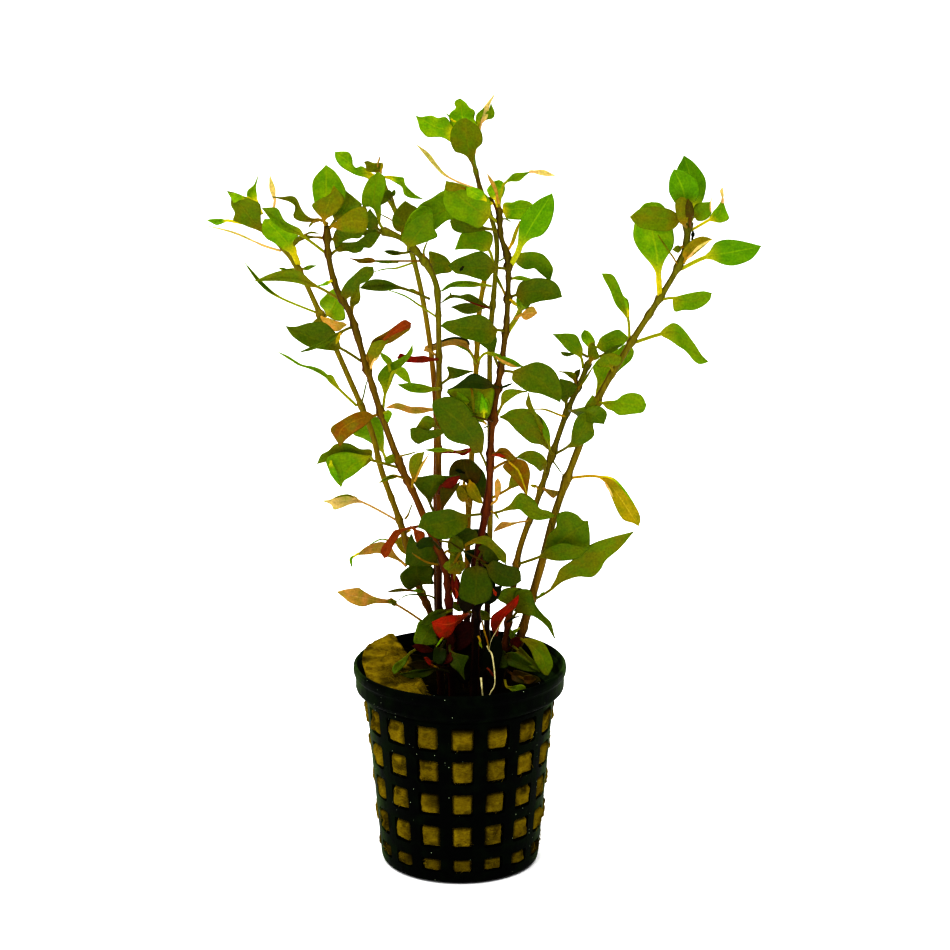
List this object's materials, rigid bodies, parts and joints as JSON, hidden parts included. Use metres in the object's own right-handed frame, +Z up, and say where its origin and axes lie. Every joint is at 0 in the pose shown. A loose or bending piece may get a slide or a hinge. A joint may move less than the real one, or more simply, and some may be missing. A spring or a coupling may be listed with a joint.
{
  "type": "potted aquatic plant",
  "caption": "Leafy marsh seedbox shoots with opposite oval leaves, planted in a block of rock wool in a round black latticed net pot.",
  "frame": {"origin": "middle of the pot's resting face, on the pot's axis", "axes": "+Z up along the pot's axis, +X to the right and -Y to the front, as the picture sees the plant"},
  "size_m": [0.1388, 0.0548, 0.1991],
  "materials": {
    "black_plastic": "satin moulded polypropylene",
    "rock_wool": "matte mineral fibre",
    "olive_stem": "satin olive stem",
    "dark_stem": "satin dark red-brown stem",
    "orange_stem": "satin orange-brown stem",
    "young_green_leaf": "satin bright green leaf",
    "green_leaf": "satin green leaf",
    "dark_green_leaf": "satin dark green leaf",
    "olive_leaf": "satin olive leaf",
    "orange_leaf": "satin old leaf, orange",
    "red_leaf": "satin old leaf, red",
    "white_root": "satin cream root"
  },
  "bodies": {
    "root": {"net_pot": "black_plastic", "rock_wool": "rock_wool", "left_rear_stem": "olive_stem", "left_rear_leaf_1": "green_leaf", "left_rear_leaf_2": "young_green_leaf", "left_rear_leaf_3": "green_leaf", "left_rear_leaf_4": "green_leaf", "left_rear_leaf_5": "orange_leaf", "left_rear_leaf_6": "orange_leaf", "left_front_stem": "dark_stem", "left_front_leaf_1": "dark_green_leaf", "left_front_leaf_2": "young_green_leaf", "left_front_leaf_3": "green_leaf", "left_front_leaf_4": "dark_green_leaf", "left_front_leaf_5": "dark_green_leaf", "left_front_leaf_6": "red_leaf", "left_front_leaf_7": "orange_leaf", "left_front_leaf_8": "green_leaf", "thin_stem": "olive_stem", "thin_leaf_1": "olive_leaf", "centre_stem": "olive_stem", "centre_leaf_1": "green_leaf", "centre_leaf_2": "dark_green_leaf", "centre_leaf_3": "dark_green_leaf", "centre_leaf_4": "dark_green_leaf", "rear_orange_stem": "orange_stem", "rear_orange_leaf_1": "olive_leaf", "tall_stem": "olive_stem", "tall_leaf_1": "young_green_leaf", "tall_leaf_2": "green_leaf", "tall_leaf_3": "red_leaf", "dark_front_stem": "dark_stem", "dark_front_leaf_1": "green_leaf", "dark_front_leaf_2": "young_green_leaf", "dark_front_leaf_3": "dark_green_leaf", "dark_front_leaf_4": "dark_green_leaf", "dark_front_leaf_5": "dark_green_leaf", "dark_front_leaf_6": "dark_green_leaf", "dark_front_leaf_7": "dark_green_leaf", "dark_front_leaf_8": "dark_green_leaf", "dark_front_leaf_9": "dark_green_leaf", "dark_front_leaf_10": "dark_green_leaf", "dark_front_leaf_11": "orange_leaf", "right_thin_stem": "dark_stem", "right_thin_leaf_1": "dark_green_leaf", "right_thin_leaf_2": "dark_green_leaf", "right_thin_leaf_3": "dark_green_leaf", "right_thin_leaf_4": "dark_green_leaf", "right_thick_stem": "olive_stem", "right_thick_leaf_1": "green_leaf", "right_thick_leaf_2": "dark_green_leaf", "right_thick_leaf_3": "young_green_leaf", "right_thick_leaf_4": "young_green_leaf", "right_thick_leaf_5": "green_leaf", "right_thick_leaf_6": "green_leaf", "right_thick_leaf_7": "green_leaf", "right_thick_leaf_8": "green_leaf", "right_thick_leaf_9": "orange_leaf", "right_thick_leaf_10": "olive_leaf", "root": "white_root"}
  },
  "joints": []
}
